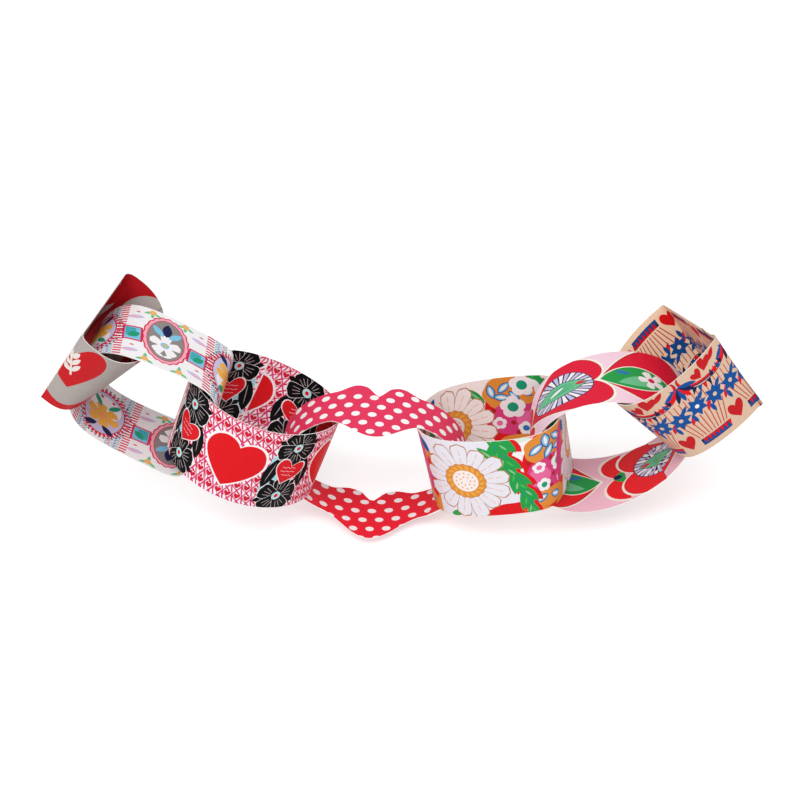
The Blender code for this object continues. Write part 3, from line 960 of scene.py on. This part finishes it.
class Card:
    """The mesh of one closed link, gathered sheet by sheet."""

    def __init__(self, link, draw):
        self.link = link
        self.strip = Strip(link)
        self.points, self.normals, self.faces, self.inks = [], [], [], []
        self.count = 0
        for outside in (True, False):
            self.add_sheet(Drawing(self.strip, outside, draw), outside)
        for high in (False, True):
            self.add_rim(high)
        for outside in (True, False):
            self.add_cut_end(outside)

    def add(self, points, normals, faces, inks):
        self.points.append(points)
        self.normals.append(normals)
        self.faces += [[self.count + corner for corner in face] for face in faces]
        self.inks += list(inks)
        self.count += len(points)

    def add_sheet(self, drawing, outside):
        points, facing, _ = self.strip.bend(drawing.flat[:, 0], drawing.flat[:, 1], outside)
        sign = 1.0 if outside else -1.0
        first, second, third = (points[drawing.faces[:, corner]] for corner in range(3))
        wound = np.cross(second - first, third - first)
        wrong = (wound * facing[drawing.faces[:, 0]]).sum(axis=1) * sign < 0.0
        faces = drawing.faces.copy()
        faces[wrong] = faces[wrong][:, ::-1]
        self.add(points, sign * facing, faces.tolist(), drawing.inks)

    def add_rim(self, high):
        """The cut edge along one side of the strip."""
        first, last = self.strip.span(True)
        count = int((last - first) / MM / COLUMN_MM) * 2
        place = np.linspace(first, last, count + 1)
        low_edge, high_edge = self.strip.edges(place)
        across = high_edge if high else low_edge
        outer, _, way = self.strip.bend(place, across, True)
        inner_first, inner_last = self.strip.span(False)
        inner_place = (place - inner_first) % self.strip.length + inner_first
        height = self.strip.offset(inner_place, False)
        inner, _, _ = self.strip.bend(place, across, height=height)
        normals = way if high else -way
        faces = []
        for number in range(count):
            face = [number, number + 1, count + 2 + number, count + 1 + number]
            faces.append(face if high else face[::-1])
        self.add(np.vstack([outer, inner]), np.vstack([normals, normals]), faces, ["edge"] * count)

    def add_cut_end(self, outside):
        """The short edge where one end of the strip lies on the other."""
        first, last = self.strip.span(outside)
        ends = np.array([first, first, last, last])
        low, high = self.strip.edges(ends)
        across = np.array([low[0], high[0], high[0], low[0]])
        points, facing, way = self.strip.bend(ends, across, outside)
        along = np.cross(way, facing)
        self.add(points, along if outside else -along, [[0, 1, 2, 3]], ["edge"])

    def build(self, middle):
        turn = np.array(turn_matrix(self.link))
        mesh = bpy.data.meshes.new("card_" + self.link.node)
        mesh.from_pydata((np.vstack(self.points) @ turn.T + np.array(middle)).tolist(), [], self.faces)
        used = sorted(set(self.inks))
        for ink in used:
            mesh.materials.append(ink_material(ink))
        slots = {ink: number for number, ink in enumerate(used)}
        mesh.polygons.foreach_set("material_index", [slots[ink] for ink in self.inks])
        mesh.shade_smooth()
        mesh.normals_split_custom_set_from_vertices((np.vstack(self.normals) @ turn.T).tolist())
        return place_object("card_" + self.link.node, mesh)


# Materials

MADE = {}
DARK_INKS = ("black", "navy")

# Sheen of the printed card, and how deep its fibre shows, in metres
ROUGHNESS = (0.42, 0.56)
SHEEN = 0.12
SHEEN_OF_DARK_INKS = 0.04
FIBRE_DEPTH = 0.0001
FIBRE_STRENGTH = 0.12


def to_linear(code):
    values = [int(code[start:start + 2], 16) / 255.0 for start in (0, 2, 4)]
    return [value / 12.92 if value <= 0.04045 else ((value + 0.055) / 1.055) ** 2.4 for value in values]


def add_noise(nodes, links, place, scale, detail=2.0):
    noise = nodes.new("ShaderNodeTexNoise")
    noise.inputs["Scale"].default_value = scale
    noise.inputs["Detail"].default_value = detail
    links.new(place.outputs["Object"], noise.inputs["Vector"])
    return noise.outputs["Fac"]


def ink_material(ink):
    """Satin coated card with one ink on it: a faint mottle in the colour, the fibre of the card under
    the coating, and patches of more and less gloss."""
    if ink in MADE:
        return MADE[ink]
    material = bpy.data.materials.new("ink_" + ink)
    material.use_nodes = True
    nodes, links = material.node_tree.nodes, material.node_tree.links
    shader = nodes["Principled BSDF"]
    place = nodes.new("ShaderNodeTexCoord")
    colour = to_linear(INKS[ink])
    shade = nodes.new("ShaderNodeMix")
    shade.data_type = "RGBA"
    shade.inputs["A"].default_value = (*[0.90 * value for value in colour], 1.0)
    shade.inputs["B"].default_value = (*[min(1.0, 1.06 * value + 0.004) for value in colour], 1.0)
    links.new(add_noise(nodes, links, place, 900.0, 4.0), shade.inputs["Factor"])
    links.new(shade.outputs["Result"], shader.inputs["Base Color"])
    gloss = nodes.new("ShaderNodeMapRange")
    gloss.inputs["To Min"].default_value, gloss.inputs["To Max"].default_value = ROUGHNESS
    links.new(add_noise(nodes, links, place, 60.0), gloss.inputs["Value"])
    links.new(gloss.outputs["Result"], shader.inputs["Roughness"])
    relief = nodes.new("ShaderNodeBump")
    relief.inputs["Strength"].default_value = FIBRE_STRENGTH
    relief.inputs["Distance"].default_value = FIBRE_DEPTH
    links.new(add_noise(nodes, links, place, 1600.0, 3.0), relief.inputs["Height"])
    links.new(relief.outputs["Normal"], shader.inputs["Normal"])
    shader.inputs["Specular IOR Level"].default_value = SHEEN_OF_DARK_INKS if ink in DARK_INKS else SHEEN
    MADE[ink] = material
    return material


# The room

# Where the camera stands, from the picture: elevation, distance, and the point that it looks at
ELEVATION = 33.0
CAMERA_DISTANCE = 1.5
AIM = Vector((0.13337, 0.0060, -0.0361))
LENS_MM = 158.3
SENSOR_MM = 36.0

# The floor: half its side, its middle, its colour, and how much it is lifted to white where it is seen
FLOOR_HALF = 3.0
FLOOR_MIDDLE = (0.13, 0.0, -0.0825)
FLOOR_GREY = 0.80
FLOOR_LIFT = 0.48
WHITE = (1.0, 1.0, 1.0, 1.0)

# Strength of the light from all round, and the place, side in metres and watts of each lamp
WORLD_STRENGTH = 0.57
LAMPS = {
    "key": ((-0.3, -1.0, 1.25), 1.1, 15.3),
    "fill": ((0.9, -0.8, 1.1), 1.2, 4.0),
}


def place_object(name, data):
    item = bpy.data.objects.new(name, data)
    bpy.context.collection.objects.link(item)
    return item


def add_camera():
    data = bpy.data.cameras.new("camera")
    data.lens = LENS_MM
    data.sensor_width = SENSOR_MM
    camera = place_object("camera", data)
    rise = math.radians(ELEVATION)
    camera.location = AIM + CAMERA_DISTANCE * Vector((0.0, -math.cos(rise), math.sin(rise)))
    camera.rotation_euler = (0.5 * math.pi - rise, 0.0, 0.0)
    bpy.context.scene.camera = camera


def floor_material():
    """Matt white, lifted to the white of the picture where the camera or a glossy surface sees it."""
    material = bpy.data.materials.new("floor_white")
    material.use_nodes = True
    nodes, links = material.node_tree.nodes, material.node_tree.links
    shader = nodes["Principled BSDF"]
    shader.inputs["Base Color"].default_value = (FLOOR_GREY, FLOOR_GREY, FLOOR_GREY, 1.0)
    shader.inputs["Roughness"].default_value = 0.9
    shader.inputs["Specular IOR Level"].default_value = 0.1
    shader.inputs["Emission Color"].default_value = WHITE
    path = nodes.new("ShaderNodeLightPath")
    seen = nodes.new("ShaderNodeMath")
    seen.operation = "MAXIMUM"
    links.new(path.outputs["Is Camera Ray"], seen.inputs[0])
    links.new(path.outputs["Is Glossy Ray"], seen.inputs[1])
    lift = nodes.new("ShaderNodeMath")
    lift.operation = "MULTIPLY"
    lift.inputs[1].default_value = FLOOR_LIFT
    links.new(seen.outputs["Value"], lift.inputs[0])
    links.new(lift.outputs["Value"], shader.inputs["Emission Strength"])
    return material


def add_floor():
    mesh = bpy.data.meshes.new("floor")
    half = FLOOR_HALF
    corners = [(-half, -half, 0.0), (half, -half, 0.0), (half, half, 0.0), (-half, half, 0.0)]
    mesh.from_pydata(corners, [], [(0, 1, 2, 3)])
    mesh.materials.append(floor_material())
    floor = place_object("floor", mesh)
    floor.location = FLOOR_MIDDLE


def add_lamps():
    for name, (place, size, power) in LAMPS.items():
        data = bpy.data.lights.new(name, "AREA")
        data.shape = "SQUARE"
        data.size = size
        data.energy = power
        lamp = place_object(name, data)
        lamp.location = place
        lamp.rotation_euler = (AIM - Vector(place)).to_track_quat("-Z", "Y").to_euler()


def add_world():
    world = bpy.data.worlds.new("white_room")
    bpy.context.scene.world = world
    world.use_nodes = True
    background = world.node_tree.nodes["Background"]
    background.inputs["Color"].default_value = WHITE
    background.inputs["Strength"].default_value = WORLD_STRENGTH


def build_cards():
    place = Vector((0.0, 0.0, 0.0))
    for number, (link, draw) in enumerate(zip(LINKS, PRINTS)):
        card = Card(link, draw)
        if number:
            place = place + step_from(link)
        else:
            place = -(turn_matrix(link) @ flat_middle(card.strip))
        piece = card.build(place)
        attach(piece, "root")
        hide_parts(link.node)


add_camera()
add_world()
add_floor()
add_lamps()
build_cards()
bpy.context.scene.view_settings.view_transform = "Standard"
